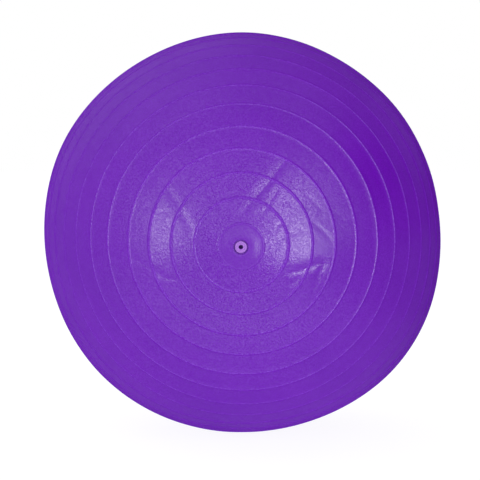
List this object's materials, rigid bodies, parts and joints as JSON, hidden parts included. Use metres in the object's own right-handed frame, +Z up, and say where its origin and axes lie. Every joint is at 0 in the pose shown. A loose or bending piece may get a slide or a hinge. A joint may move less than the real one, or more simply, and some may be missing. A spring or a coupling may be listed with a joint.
{
  "type": "inflatable exercise ball",
  "caption": "Large inflatable gym ball with concentric mould ribs, a bonded valve insert and a push-in air plug.",
  "frame": {"origin": "on the floor under the ball's centre, in the flat patch that the ball rests on", "axes": "+Z up; the valve's axis runs along Y through the ball's centre, and the valve faces -Y"},
  "size_m": [0.6454, 0.6499, 0.6487],
  "materials": {
    "ball_pvc": "satin",
    "valve_pvc": "satin",
    "plug_pvc": "satin"
  },
  "bodies": {
    "ball": {"ball_shell": "ball_pvc", "valve_insert": "valve_pvc"},
    "plug": {"valve_plug": "plug_pvc"}
  },
  "joints": [
    {"name": "plug_pull", "type": "slide", "parent": "ball", "child": "plug", "axis": [0, -1, 0], "range_m": [0, 0.03]}
  ]
}
